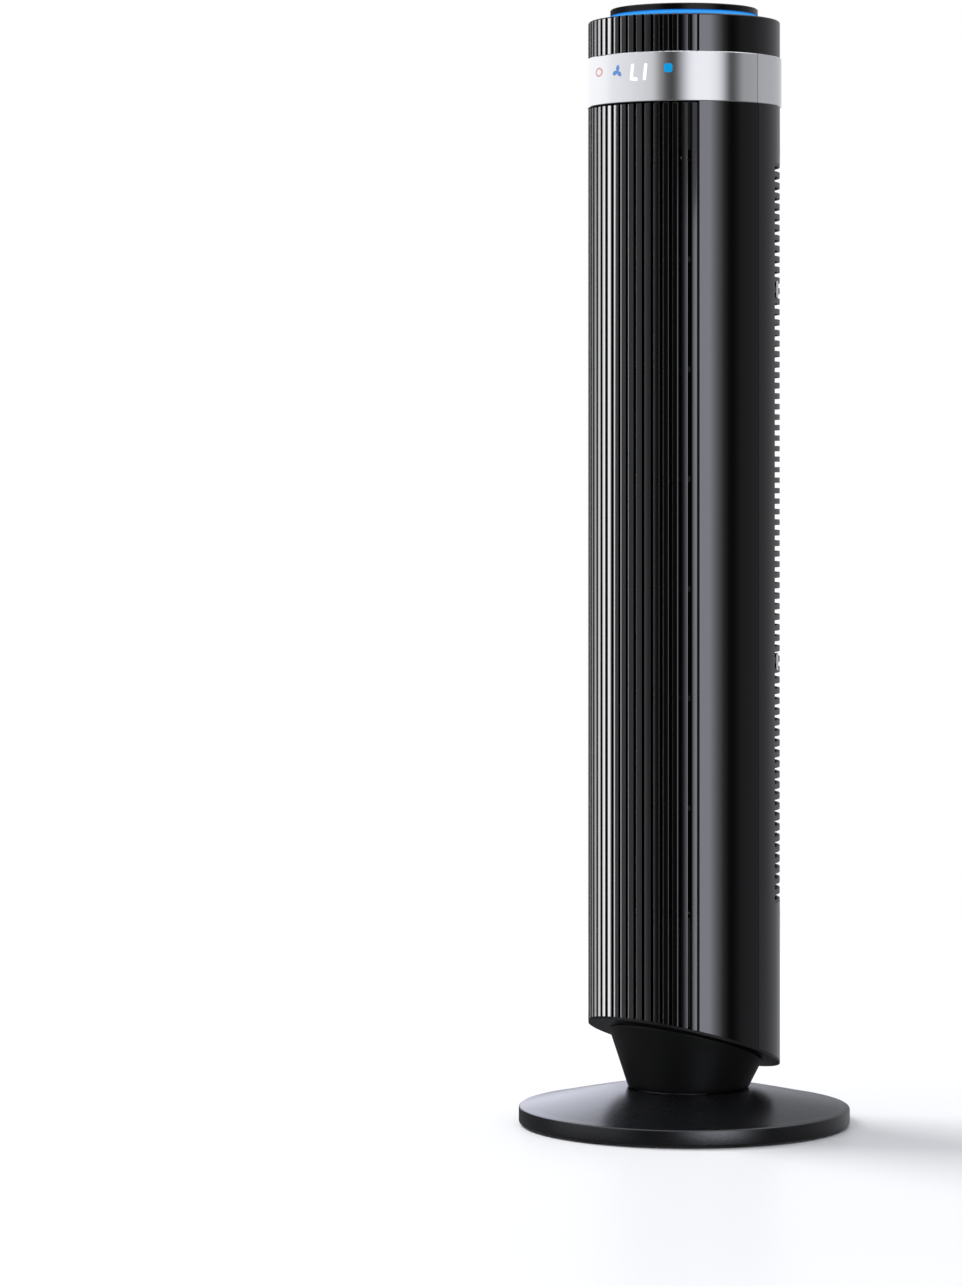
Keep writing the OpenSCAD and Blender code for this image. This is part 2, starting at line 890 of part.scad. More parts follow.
module motor_stator() {
    color("#b06a34") {
        ring(stator_r[0], stator_r[1], stator_z);
        ring(stator_r[0] + 1, stator_r[1] - 2, [stator_z[0] - coil_h, stator_z[0] + 1]);
        ring(stator_r[0] + 1, stator_r[1] - 2, [stator_z[1] - 1, stator_z[1] + coil_h]);
    }
}

module motor_rotor() {
    color("#7d8085") ring(shaft_r + 0.02, rotor_r, [stator_z[0] - 2, stator_z[1] + 2]);
}

module motor_bearings() {
    color("#b08d4a") {
        ring(shaft_r + play, bush_r, [motor_z[0] - 2, motor_z[0] - 2 + bush_h]);
        ring(shaft_r + play, bush_r, [motor_z[1] + 2 - bush_h, motor_z[1] + 2]);
    }
}

module motor_cushions() {
    color("#141414") around(motor_fix_n, motor_screw_r, 45)
        ring(screw_hole_r, cushion_r, [motor_z[1], duct_bottom[0]]);
}

module motor_screws() {
    color("#b9bcc0") around(motor_fix_n, motor_screw_r, 45) {
        disc(small_screw_r, [motor_z[1] - 3, duct_bottom[1] + 1]);
        disc(screw_head_r, [duct_bottom[1], duct_bottom[1] + screw_head_t]);
        disc(screw_head_r, [motor_z[1] - motor_wall - screw_head_t, motor_z[1] - motor_wall]);
    }
}

module top_bearing() {
    color("#2b2b2b") ring(shaft_r + play, top_bush_r, [duct_top[0] - 1, duct_top[1] + 1]);
}

// Impeller -----------------------------------------------------------------

function blade_point(t, side) =
    let (r = impeller_r - 0.6 - blade_depth * (1 - t), a = blade_turn * pow(1 - t, 1.5))
    [r * cos(a) + side * blade_t / 2 * sin(a), r * sin(a) + side * blade_t / 2 * cos(a)];

module blade_outline() {
    n = 5;
    polygon(concat(
        [for (i = [0:n]) blade_point(i / n, 1)],
        [for (i = [n:-1:0]) blade_point(i / n, -1)]));
}

module impeller() {
    high = impeller_z[1] - impeller_z[0] - rotor_disc_t;
    color("#2c2d30") difference() {
        union() {
            translate([0, 0, impeller_z[0] + 0.5]) linear_extrude(high + rotor_disc_t - 1)
                for (i = [0:blade_n - 1]) rotate(i * 360 / blade_n) blade_outline();
            for (i = [1:stage_n - 1]) let (z = impeller_z[0] + i * high / stage_n)
                ring(impeller_r - blade_depth - 2, impeller_r, [z, z + rotor_disc_t]);
            for (z = [impeller_z[0], impeller_z[0] + high]) disc(impeller_r, [z, z + rotor_disc_t]);
            disc(boss_r, [impeller_z[0], impeller_z[0] + boss_h]);
            disc(boss_r, [impeller_z[1] - boss_h, impeller_z[1]]);
        }
        disc(shaft_r + 0.02, [impeller_z[0] - 1, impeller_z[0] + boss_h - 1]);
        disc(shaft_r + 0.02, [impeller_z[1] - boss_h + 1, impeller_z[1] + 1]);
    }
}

module impeller_shafts() {
    color("#c4c7cb") {
        disc(shaft_r, [motor_z[0] - 4, impeller_z[0] + boss_h - 1.5]);
        disc(shaft_r, [impeller_z[1] - boss_h + 1.5, duct_top[1] + 3]);
    }
}

// Main board ---------------------------------------------------------------

// Places on the back of the main board under its two lugs, with +Z towards the rear
module main_board_corners() {
    mirrored() translate([lug_x, main_board_y + board_t, duct_bottom[0] - 16]) rotate([-90, 0, 0]) children();
}

module main_board() {
    y = main_board_y + board_t;
    color("#1d5a33") difference() {
        translate([-main_board_x, main_board_y, main_board_z[0]])
            cube([2 * main_board_x, board_t, main_board_z[1] - main_board_z[0]]);
        main_board_corners() translate([0, 0, -4]) cylinder(r = screw_hole_r, h = 8);
    }
    color("#26272a") {
        translate([-30, y, main_board_z[0] + 6]) cube([24, 14, 20]);
        translate([4, y, main_board_z[0] + 8]) cube([16, 12, 12]);
        translate([-26, y, main_board_z[0] + 46]) cube([20, 3, 20]);
        for (x = [8, 22]) translate([x, y, main_board_z[0] + 48]) rotate([-90, 0, 0]) cylinder(r = 5, h = 13);
    }
}

// Pan-head screws of the main board and the display board
module board_screws() {
    color("#b9bcc0") {
        main_board_corners() board_screw();
        display_corners() translate([0, 0, -board_t]) mirror([0, 0, 1]) board_screw();
    }
}

module board_screw() {
    translate([0, 0, -6]) cylinder(r = small_screw_r, h = 6.5);
    cylinder(r = screw_head_r, h = screw_head_t);
}

// Top ----------------------------------------------------------------------

module cap_envelope() {
    rotate_extrude() polygon(concat(
        [[0, cap_z], [tower_r, cap_z]],
        arc_points(tower_r - cap_edge, tower_top - cap_edge, cap_edge, 0, 90, 6),
        [[0, tower_top]]));
}

module top_cap() {
    color("#101012") difference() {
        intersection() {
            cap_envelope();
            union() {
                disc(hoop_out, [cap_z - 1, tower_top]);
                arc_wall(front_half, 360 - front_half, hoop_out - 1, tower_r, [cap_z - 1, tower_top]);
                fins([cap_z - 1, tower_top]);
            }
        }
        disc(hoop_in, [cap_z - 1, tower_top - deck_t]);
        disc(deck_hole_r, [cap_z - 1, tower_top + 1]);
    }
}

module light_ring() {
    color("#1e90ff") ring(disc_r - disc_skirt, disc_r - 0.2, ring_z);
}

module control_disc() {
    color("#0c0c0e") difference() {
        rotate_extrude() polygon([
            [0, disc_z[0]], [disc_r, disc_z[0]], [disc_r, disc_z[1] - disc_bevel],
            [disc_r - disc_bevel, disc_z[1]], [0, disc_z[1]]]);
        disc(disc_r - disc_skirt, [disc_z[0] - 1, disc_z[1] - disc_t]);
        for (b = BUTTONS) rotate([0, 0, b[1]]) translate([b[0], 0, 0])
            disc(b[2] + button_gap, [disc_z[0], disc_z[1] + 1]);
    }
}

module button_board() {
    top = tower_top + board_t;
    color("#1d5a33") ring(3, board_r, [tower_top, top]);
    color("#303236") for (b = BUTTONS) rotate([0, 0, b[1]])
        translate([b[0] - switch_half, -switch_half, top - 0.2])
            cube([2 * switch_half, 2 * switch_half, switch_h + 0.2]);
}

// One push button: cap, the flange that keeps it in, and the stem above its switch
module push_button(b) {
    flange_z = disc_z[1] - disc_t - button_gap - button_flange_t;
    stem_z = tower_top + board_t + switch_h + button_travel + 0.15;
    rotate([0, 0, b[1]]) translate([b[0], 0, 0]) {
        disc(b[2], [flange_z, button_top - 0.4]);
        translate([0, 0, button_top - 0.4]) cylinder(r1 = b[2], r2 = b[2] - 0.4, h = 0.4);
        disc(b[2] + button_flange_w, [flange_z, flange_z + button_flange_t]);
        disc(stem_r, [stem_z, flange_z + 0.5]);
    }
}

module button_power() { color("#2d2e31") push_button(BUTTONS[0]); }
module button_speed() { color("#2d2e31") push_button(BUTTONS[1]); }
module button_timer() { color("#2d2e31") push_button(BUTTONS[2]); }
module button_mode() { color("#2d2e31") push_button(BUTTONS[3]); }
module button_swing() { color("#2d2e31") push_button(BUTTONS[4]); }

base_shell();
base_bottom_plate();
base_weight();
rubber_feet();
base_screws();
cord_inlet();
pivot_post();
post_screws();
fixed_gear();
gear_clip();
lower_race();
ball_cage();
bearing_balls();
upper_race();
swivel_plate();
neck_shell();
neck_screws();
swing_motor();
swing_motor_bracket();
swing_motor_screws();
swing_pinion();
bottom_cover();
front_shell();
front_grille();
rear_shell();
rear_grille();
grille_screws();
shell_screws();
band_front();
band_rear();
display_board();
digit_lights();
ring_sign();
fan_sign();
signal_lamp();
scroll_wall();
vortex_tongue();
duct_bottom_plate();
duct_top_plate();
motor_case();
motor_stator();
motor_rotor();
motor_bearings();
motor_cushions();
motor_screws();
top_bearing();
impeller();
impeller_shafts();
main_board();
board_screws();
top_cap();
light_ring();
control_disc();
button_board();
button_power();
button_speed();
button_timer();
button_mode();
button_swing();
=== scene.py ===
import json
from math import cos, pi, radians, sin, sqrt, tan

import bmesh
import bpy
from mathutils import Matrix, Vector


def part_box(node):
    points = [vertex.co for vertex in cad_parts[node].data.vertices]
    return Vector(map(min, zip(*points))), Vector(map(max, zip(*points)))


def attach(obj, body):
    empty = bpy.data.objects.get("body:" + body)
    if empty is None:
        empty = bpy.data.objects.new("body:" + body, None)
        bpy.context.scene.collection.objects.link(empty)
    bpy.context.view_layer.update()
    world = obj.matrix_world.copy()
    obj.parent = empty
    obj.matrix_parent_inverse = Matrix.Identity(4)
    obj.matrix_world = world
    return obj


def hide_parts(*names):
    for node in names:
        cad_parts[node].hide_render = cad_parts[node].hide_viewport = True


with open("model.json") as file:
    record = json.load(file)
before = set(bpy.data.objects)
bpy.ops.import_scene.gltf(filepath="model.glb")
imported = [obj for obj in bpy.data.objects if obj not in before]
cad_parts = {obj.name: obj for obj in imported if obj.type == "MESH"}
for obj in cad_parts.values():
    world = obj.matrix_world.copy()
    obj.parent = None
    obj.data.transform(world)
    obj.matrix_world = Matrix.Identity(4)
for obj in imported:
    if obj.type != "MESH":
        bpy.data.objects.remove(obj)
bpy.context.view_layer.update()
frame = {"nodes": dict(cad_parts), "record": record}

MM = 0.001
NODES = frame["nodes"]

# Sizes that the frame gives ------------------------------------------------------------

TOWER_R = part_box("front_shell")[1].x
TOWER_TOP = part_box("top_cap")[1].z
BAND_LOW, BAND_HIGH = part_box("band_front")[0].z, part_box("band_front")[1].z
BASE_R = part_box("base_shell")[1].x
CROWN_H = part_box("base_shell")[1].z
SKIRT_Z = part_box("base_shell")[0].z
NECK_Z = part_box("neck_shell")[0].z
RING_LOW, RING_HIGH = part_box("light_ring")[0].z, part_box("light_ring")[1].z

# Sizes repeated from the design, in metres and degrees ---------------------------------

CUT_H = 73.75 * MM
CUT_DEG = 18.3
RIM_H = 16.6 * MM
CROWN_R = 62 * MM
BASE_EDGE = 3 * MM
BASE_WALL = 2.8 * MM
SKIRT_ROUND = 1.5 * MM
RIM_ROUND = 1.8 * MM
DOME_BEND = 1.15
WELL_R = 49 * MM
WELL_EASE = 0.8 * MM
WELL_WALL = 2.5 * MM
WELL_Z = 24.6 * MM
WELL_HOLE_R = 32 * MM
LEAN_DEG = 7
NECK_PIVOT_Z = 6.7 * MM
NECK_R0 = 43.35 * MM
NECK_SLOPE = 0.42
NECK_WALL = 2.6 * MM
NECK_EASE = 0.9 * MM
NECK_GAP = 0.3 * MM
FRONT_HALF = 48
FIN_N = 17
FIN_W = 5.4 * MM
FIN_CROWN = 0.07 * MM
FIN_CORNER = 0.5 * MM
FIN_IN = TOWER_R - 8.5 * MM
FIN_OUT = TOWER_R - 0.1 * MM
# Painted shade in the grooves between the fins: over this depth their reflection is turned down to this
# level.
GROOVE_SHADE_FADE, GROOVE_SHADE_SPECULAR = 1.6 * MM, 0.06
LIP_T = 2.4 * MM
CORE_R = FIN_IN + 0.6 * MM
GRILLE_TOP = BAND_LOW - 1 * MM
DUCT_LOW, DUCT_HIGH = 196 * MM, 884 * MM
HOOP_N, HOOP_H = 6, 5 * MM
HOOP_T = 1.6 * MM
STRIP_DEG = 3
CAP_Z = BAND_HIGH + 0.3 * MM
CAP_EDGE = 2 * MM
DECK_T = 3.5 * MM
DECK_HOLE_R = 52 * MM
DECK_EASE = 0.5 * MM
CLIP_Z = (423 * MM, 761.2 * MM)
CLIP_DEG = 114
CLIP_W, CLIP_H, CLIP_T = 7.4 * MM, 15 * MM, 0.35 * MM


def cut_z(y, lift=0.0):
    """Height of the tower's slanted underside at depth y."""
    return CUT_H + lift - y * tan(radians(CUT_DEG))


# Camera and studio -----------------------------------------------------------------------

CAMERA_AZ = 39
CAMERA_DISTANCE = 3.993
CAMERA_HEIGHT = 0.599
CAMERA_YAW = 2.6626
LENS_MM = 122.2
SHIFT_Y = -0.1361


def make_camera():
    data = bpy.data.cameras.new("camera")
    data.lens = LENS_MM
    data.sensor_width = 36
    data.shift_y = SHIFT_Y
    data.clip_end = 100
    camera = bpy.data.objects.new("camera", data)
    bpy.context.scene.collection.objects.link(camera)
    az = radians(CAMERA_AZ)
    camera.location = (CAMERA_DISTANCE * sin(az), -CAMERA_DISTANCE * cos(az), CAMERA_HEIGHT)
    camera.rotation_euler = (radians(90), 0, radians(CAMERA_AZ + CAMERA_YAW))
    bpy.context.scene.camera = camera


# Brightness of the studio that the pieces mirror, by angle from the camera's side. The steps here and
# in the screens below were tuned for the main view, piece by piece.
STUDIO_TOP = 1.4
STUDIO = [
    (-180, 0.3), (-165, 0.12), (-125, 0.15), (-104, 0.25), (-96, 0.6), (-90, 0.78), (-74, 0.82), (-52, 0.8),
    (-44, 0.7), (-38, 0.35), (-32, 0.08), (-5, 0.05), (-1, 0.5), (3, 0.85), (6, 1.05), (13, 1.22),
    (30, 1.22), (40, 1.05), (46, 0.74), (51, 0.34), (56, 0.08), (61, 0.06), (66, 0.12), (74, 0.26),
    (92, 0.3), (104, 0.38), (132, 0.5), (157, 0.5), (180, 0.3),
]

# What the studio is like by height: 0 is straight down, 0.5 level and 1 straight up
SIDE_SHARE = [(0.0, 0.0), (0.37, 0.0), (0.43, 1.0), (0.75, 1.0), (0.9, 0.0), (1.0, 0.0)]
FLOOR_AND_SKY = [(0.0, 0.15), (0.5, 0.15), (0.75, 0.3), (0.9, 1.9), (1.0, 1.9)]
MIRRORED_COLOR, SOFT_COLOR, SOFT_LIGHT = (0.94, 0.95, 1.0), (0.95, 0.965, 1.0), 0.72

# Screens of light that only some pieces mirror, by angle from the camera's side. Low and high are the
# slopes at which a screen's edges are seen from the origin.
COOL_LIGHT, PLAIN_LIGHT = (0.84, 0.86, 1.0), (0.985, 0.985, 1.0)
SCREEN_REACH, SCREEN_LOW, SCREEN_HIGH, SCREEN_STEPS = 8.0, -0.17, 0.6, 90
STRIP_FRONT = [
    (-6, 0.0), (0, 0.4), (6, 1.0), (10, 2.3), (17, 4.2), (31, 4.2), (36, 2.4), (41, 1.0), (48, 0.0),
]
STRIP_LEFT = [
    (-155, 0.0), (-145, 0.4), (-137, 1.4), (-128, 3.2), (-116, 8.0), (-106, 13.0), (-97, 13.0), (-92, 0.0),
]
STRIP_BACK = [(-187, 0.0), (-182, 0.9), (-173, 2.2), (-152, 0.0)]
STRIP_BAND = [
    (-206, 0.15), (-180, 0.6), (-165, 1.08), (-125, 1.13), (-104, 0.99), (-96, 0.55), (-90, 0.32),
    (-74, 0.22), (-52, 0.12), (-44, 0.17), (-38, 0.45), (-34, 0.5), (-32, 0.47), (-28, 0.29),
    (-21, 0.07), (-14, 0.0), (-10, 0.05), (-5, 0.28), (-1, 0.1), (3, 0.0), (56, 0.0),
    (64, 0.08), (74, 0.17), (104, 0.15), (132, 0.06), (154, 0.15),
]

FLOOR_HALF, FLOOR_FADE = 6.0, (0.5, 1.9)
LAMP_SIZE, LAMP_POWER, LAMP_AZ, LAMP_REACH, LAMP_Z, LAMP_AIM_Z = 1.6, 105, CAMERA_AZ - 118, 2.4, 2.6, 0.2


class Nodes:
    """Short calls to build a node tree."""

    def __init__(self, tree):
        self.tree = tree

    def add(self, kind):
        return self.tree.nodes.new(kind)

    def link(self, a, b):
        self.tree.links.new(a, b)

    def feed(self, value, socket):
        """Sets a socket to a number or a colour, or links it to another node's output."""
        if isinstance(value, tuple):
            socket.default_value = (*value, 1)
        elif isinstance(value, (int, float)):
            socket.default_value = value
        else:
            self.link(value, socket)

    def math(self, operation, *values):
        node = self.add("ShaderNodeMath")
        node.operation = operation
        for socket, value in zip(node.inputs, values):
            self.feed(value, socket)
        return node.outputs[0]

    def ramp(self, factor, stops):
        node = self.add("ShaderNodeValToRGB")
        elements = node.color_ramp.elements
        while len(elements) < len(stops):
            elements.new(0.5)
        for element, (position, value) in zip(elements, stops):
            element.position = position
            element.color = (value, value, value, 1)
        self.link(factor, node.inputs["Fac"])
        return node.outputs["Color"]

    def noise(self, vector, scale, detail, roughness=0.5):
        node = self.add("ShaderNodeTexNoise")
        node.inputs["Scale"].default_value = scale
        node.inputs["Detail"].default_value = detail
        node.inputs["Roughness"].default_value = roughness
        self.link(vector, node.inputs["Vector"])
        return node.outputs["Fac"]

    def stretched(self, vector, scale):
        node = self.add("ShaderNodeMapping")
        node.inputs["Scale"].default_value = scale
        self.link(vector, node.inputs["Vector"])
        return node.outputs["Vector"]

    def background(self, color, strength):
        node = self.add("ShaderNodeBackground")
        self.feed(color, node.inputs["Color"])
        self.feed(strength, node.inputs["Strength"])
        return node.outputs[0]

    def mix_shader(self, factor, a, b):
        node = self.add("ShaderNodeMixShader")
        self.link(factor, node.inputs["Fac"])
        self.link(a, node.inputs[1])
        self.link(b, node.inputs[2])
        return node.outputs[0]

    def between(self, factor, low, high):
        node = self.add("ShaderNodeMapRange")
        node.inputs["To Min"].default_value = low
        node.inputs["To Max"].default_value = high
        self.link(factor, node.inputs["Value"])
        return node.outputs["Result"]

    def relief(self, height, strength, depth, shader):
        node = self.add("ShaderNodeBump")
        node.inputs["Strength"].default_value = strength
        node.inputs["Distance"].default_value = depth
        self.link(height, node.inputs["Height"])
        self.link(node.outputs["Normal"], shader.inputs["Normal"])

    def mix(self, factor, a, b):
        node = self.add("ShaderNodeMix")
        node.data_type = "RGBA"
        sockets = {s.identifier: s for s in node.inputs}
        for name, value in (("Factor_Float", factor), ("A_Color", a), ("B_Color", b)):
            self.feed(value, sockets[name])
        return next(s for s in node.outputs if s.identifier == "Result_Color")


def make_studio():
    """A white room for the eye; for the light, soft panels and dark gaps at fixed places round the fan."""
    world = bpy.data.worlds.new("studio")
    bpy.context.scene.world = world
    world.use_nodes = True
    tree = world.node_tree
    tree.nodes.clear()
    n = Nodes(tree)
    xyz = n.add("ShaderNodeSeparateXYZ")
    n.link(n.add("ShaderNodeTexCoord").outputs["Generated"], xyz.inputs[0])
    turned = n.math("ARCTAN2", xyz.outputs["X"], n.math("MULTIPLY", xyz.outputs["Y"], -1.0))
    turns = n.math("SUBTRACT", n.math("DIVIDE", turned, 2 * pi), CAMERA_AZ / 360 - 0.5)
    around = n.math("FRACT", n.math("ADD", turns, 1.0))
    panels = n.ramp(around, [((a + 180) / 360, v / STUDIO_TOP) for a, v in STUDIO])
    sides = n.math("MULTIPLY", panels, STUDIO_TOP)
    height = n.math("ADD", n.math("MULTIPLY", xyz.outputs["Z"], 0.5), 0.5)
    level = n.ramp(height, SIDE_SHARE)
    above = n.ramp(height, FLOOR_AND_SKY)
    light = n.math("ADD", n.math("MULTIPLY", sides, level),
                   n.math("MULTIPLY", above, n.math("SUBTRACT", 1.0, level)))
    path = n.add("ShaderNodeLightPath")
    mirrored = n.background(MIRRORED_COLOR, light)
    soft = n.background(SOFT_COLOR, SOFT_LIGHT)
    seen = n.background((1, 1, 1), 1.0)
    lit = n.mix_shader(path.outputs["Is Diffuse Ray"], mirrored, soft)
    shown = n.mix_shader(path.outputs["Is Camera Ray"], lit, seen)
    n.link(shown, n.add("ShaderNodeOutputWorld").inputs["Surface"])
    bpy.context.scene.view_settings.view_transform = "Standard"


def make_floor():
    """A white floor that fades out with distance, and that the gloss of the pieces doesn't mirror."""
    mesh = bpy.data.meshes.new("floor")
    bm = bmesh.new()
    bmesh.ops.create_grid(bm, x_segments=8, y_segments=8, size=FLOOR_HALF)
    bm.to_mesh(mesh)
    bm.free()
    floor = bpy.data.objects.new("floor", mesh)
    bpy.context.scene.collection.objects.link(floor)
    material, n, shader = principled("floor_white", (0.93, 0.93, 0.94), 0.32)
    shader.inputs["Specular IOR Level"].default_value = 0.35
    where = n.add("ShaderNodeTexCoord").outputs["Object"]
    length = n.add("ShaderNodeVectorMath")
    length.operation = "LENGTH"
    n.link(where, length.inputs[0])
    fade = n.add("ShaderNodeMapRange")
    fade.interpolation_type = "SMOOTHSTEP"
    fade.inputs["From Min"].default_value, fade.inputs["From Max"].default_value = FLOOR_FADE
    n.link(length.outputs["Value"], fade.inputs["Value"])
    clear = n.add("ShaderNodeBsdfTransparent")
    output = next(x for x in material.node_tree.nodes if x.type == "OUTPUT_MATERIAL")
    path = n.add("ShaderNodeLightPath")
    hidden = n.math("MAXIMUM", fade.outputs["Result"], path.outputs["Is Glossy Ray"])
    n.link(n.mix_shader(hidden, shader.outputs[0], clear.outputs[0]), output.inputs["Surface"])
    mesh.materials.append(material)


def make_light():
    """One large soft lamp, high on the left, that throws the shadow to the right."""
    data = bpy.data.lights.new("key", "AREA")
    data.shape = "RECTANGLE"
    data.size = data.size_y = LAMP_SIZE
    data.energy = LAMP_POWER
    lamp = bpy.data.objects.new("key", data)
    bpy.context.scene.collection.objects.link(lamp)
    az = radians(LAMP_AZ)
    lamp.location = (LAMP_REACH * sin(az), -LAMP_REACH * cos(az), LAMP_Z)
    lamp.rotation_euler = (Vector((0, 0, LAMP_AIM_Z)) - lamp.location).to_track_quat("-Z", "Y").to_euler()
    lamp.visible_glossy = False


def make_strip(name, table, pieces, color, low=SCREEN_LOW):
    """A tall curved screen of light, seen only in the gloss of the pieces given."""
    first, last = table[0][0], table[-1][0]
    heights = (low * SCREEN_REACH, SCREEN_HIGH * SCREEN_REACH)
    bm = bmesh.new()
    rows, share = [], {}
    for i in range(SCREEN_STEPS + 1):
        a = radians(CAMERA_AZ + first + (last - first) * i / SCREEN_STEPS)
        x, y = SCREEN_REACH * sin(a), -SCREEN_REACH * cos(a)
        rows.append([bm.verts.new((x, y, z)) for z in heights])
        share.update({v: i / SCREEN_STEPS for v in rows[-1]})
    grid_faces(bm, rows)
    uv = bm.loops.layers.uv.new("turn")
    for face in bm.faces:
        for loop in face.loops:
            loop[uv].uv = (share[loop.vert], 0.5)
    mesh = bpy.data.meshes.new(name)
    bm.to_mesh(mesh)
    bm.free()
    strip = bpy.data.objects.new(name, mesh)
    bpy.context.scene.collection.objects.link(strip)
    material = bpy.data.materials.new(name)
    material.use_nodes = True
    material.node_tree.nodes.clear()
    n = Nodes(material.node_tree)
    xyz = n.add("ShaderNodeSeparateXYZ")
    n.link(n.add("ShaderNodeTexCoord").outputs["UV"], xyz.inputs[0])
    top = max(v for _, v in table)
    glow = n.add("ShaderNodeEmission")
    glow.inputs["Color"].default_value = (*color, 1)
    stops = [((a - first) / (last - first), v / top) for a, v in table]
    n.link(n.math("MULTIPLY", n.ramp(xyz.outputs["X"], stops), top), glow.inputs["Strength"])
    both = n.add("ShaderNodeAddShader")
    n.link(glow.outputs[0], both.inputs[0])
    n.link(n.add("ShaderNodeBsdfTransparent").outputs[0], both.inputs[1])
    n.link(both.outputs[0], n.add("ShaderNodeOutputMaterial").inputs["Surface"])
    mesh.materials.append(material)
    strip.visible_camera = strip.visible_diffuse = strip.visible_shadow = False
    lit = bpy.data.collections.new(name)
    for piece in pieces:
        lit.objects.link(piece)
    strip.light_linking.receiver_collection = lit


# Materials -------------------------------------------------------------------------------

def principled(name, color, roughness, metallic=0.0):
    """A material with a plain Principled shader, its node helper and that shader."""
    material = bpy.data.materials.new(name)
    material.use_nodes = True
    shader = next(x for x in material.node_tree.nodes if x.type == "BSDF_PRINCIPLED")
    shader.inputs["Base Color"].default_value = (*color, 1)
    shader.inputs["Roughness"].default_value = roughness
    shader.inputs["Metallic"].default_value = metallic
    return material, Nodes(material.node_tree), shader


def moulded(name, color, roughness, grain, bump, spread=0.05, specular=0.5, groove_shade_below=None):
    """Moulded plastic: a fine grain in the relief, and a slow drift in its sheen and colour.

    Nearer to the tower's axis than the given groove radius its reflection is turned down: painted shade in
    the depth of the grooves.
    """
    material, n, shader = principled(name, color, roughness)
    shader.inputs["Specular IOR Level"].default_value = specular
    where = n.add("ShaderNodeTexCoord").outputs["Object"]
    fine = n.noise(where, grain, 3.0)
    slow = n.noise(where, 14.0, 2.0)
    lighter = tuple(min(1.0, c * 1.25) for c in color)
    n.link(n.mix(slow, color, lighter), shader.inputs["Base Color"])
    mottle = n.math("ADD", n.math("MULTIPLY", slow, 0.6), n.math("MULTIPLY", fine, 0.4))
    n.link(n.between(mottle, max(0.02, roughness - spread), roughness + spread), shader.inputs["Roughness"])
    # Painted shade: the reflection fades out toward the axis, darkening the depth of the grooves between the
    # fins.
    if groove_shade_below:
        flat = n.add("ShaderNodeVectorMath")
        flat.operation = "MULTIPLY"
        flat.inputs[1].default_value = (1, 1, 0)
        n.link(where, flat.inputs[0])
        length = n.add("ShaderNodeVectorMath")
        length.operation = "LENGTH"
        n.link(flat.outputs["Vector"], length.inputs[0])
        # Reflection level by distance from the axis, low in the groove depths: painted shade.
        gloss = n.add("ShaderNodeMapRange")
        gloss.inputs["From Min"].default_value = groove_shade_below - GROOVE_SHADE_FADE
        gloss.inputs["From Max"].default_value = groove_shade_below
        gloss.inputs["To Min"].default_value = GROOVE_SHADE_SPECULAR
        gloss.inputs["To Max"].default_value = specular
        n.link(length.outputs["Value"], gloss.inputs["Value"])
        n.link(gloss.outputs["Result"], shader.inputs["Specular IOR Level"])
    n.relief(fine, bump, 0.2 * MM, shader)
    return material


def brushed(name, color, roughness, along, bump=0.05, spread=0.08):
    """Metal brushed in lines: the noise is stretched by the scale given in along."""
    material, n, shader = principled(name, color, roughness, 1.0)
    where = n.add("ShaderNodeTexCoord").outputs["Object"]
    lines = n.noise(n.stretched(where, along), 1.0, 4.0, 0.6)
    n.link(n.mix(lines, tuple(c * 0.9 for c in color), color), shader.inputs["Base Color"])
    n.link(n.between(lines, roughness - spread, roughness + spread), shader.inputs["Roughness"])
    n.relief(lines, bump, 0.1 * MM, shader)
    return material


def glowing(name, color, strength, edge=0.75, span=None):
    """A lit light guide, a little uneven along its length, and brightest half way up its span of heights."""
    material, n, shader = principled(name, tuple(c * 0.1 for c in color), 0.5)
    shader.inputs["Specular IOR Level"].default_value = 0.05
    where = n.add("ShaderNodeTexCoord").outputs["Object"]
    uneven = n.between(n.noise(where, 60.0, 1.0), edge, 1.0)
    shader.inputs["Emission Color"].default_value = (*color, 1)
    if span:
        xyz = n.add("ShaderNodeSeparateXYZ")
        n.link(where, xyz.inputs[0])
        height = n.add("ShaderNodeMapRange")
        height.inputs["From Min"].default_value, height.inputs["From Max"].default_value = span
        n.link(xyz.outputs["Z"], height.inputs["Value"])
        core = n.ramp(height.outputs["Result"], [(0.0, 0.0), (0.55, 0.9), (0.7, 0.9), (1.0, 0.0)])
        n.link(n.mix(core, color, (0.05, 0.42, 1.0)), shader.inputs["Emission Color"])
        uneven = n.math("MULTIPLY", uneven, n.between(core, 0.6, 1.0))
    n.link(n.math("MULTIPLY", uneven, strength), shader.inputs["Emission Strength"])
    return material


def circuit(name):
    """Solder mask with copper tracks under it."""
    material, n, shader = principled(name, (0.02, 0.10, 0.045), 0.35)
    where = n.add("ShaderNodeTexCoord").outputs["Object"]
    cells = n.add("ShaderNodeTexVoronoi")
    cells.distance = "MANHATTAN"
    cells.inputs["Scale"].default_value = 160.0
    n.link(where, cells.inputs["Vector"])
    tracks = n.ramp(cells.outputs["Distance"], [(0.0, 0.0), (0.32, 0.0), (0.36, 1.0), (1.0, 1.0)])
    n.link(n.mix(tracks, (0.015, 0.075, 0.035), (0.03, 0.14, 0.06)), shader.inputs["Base Color"])
    return material


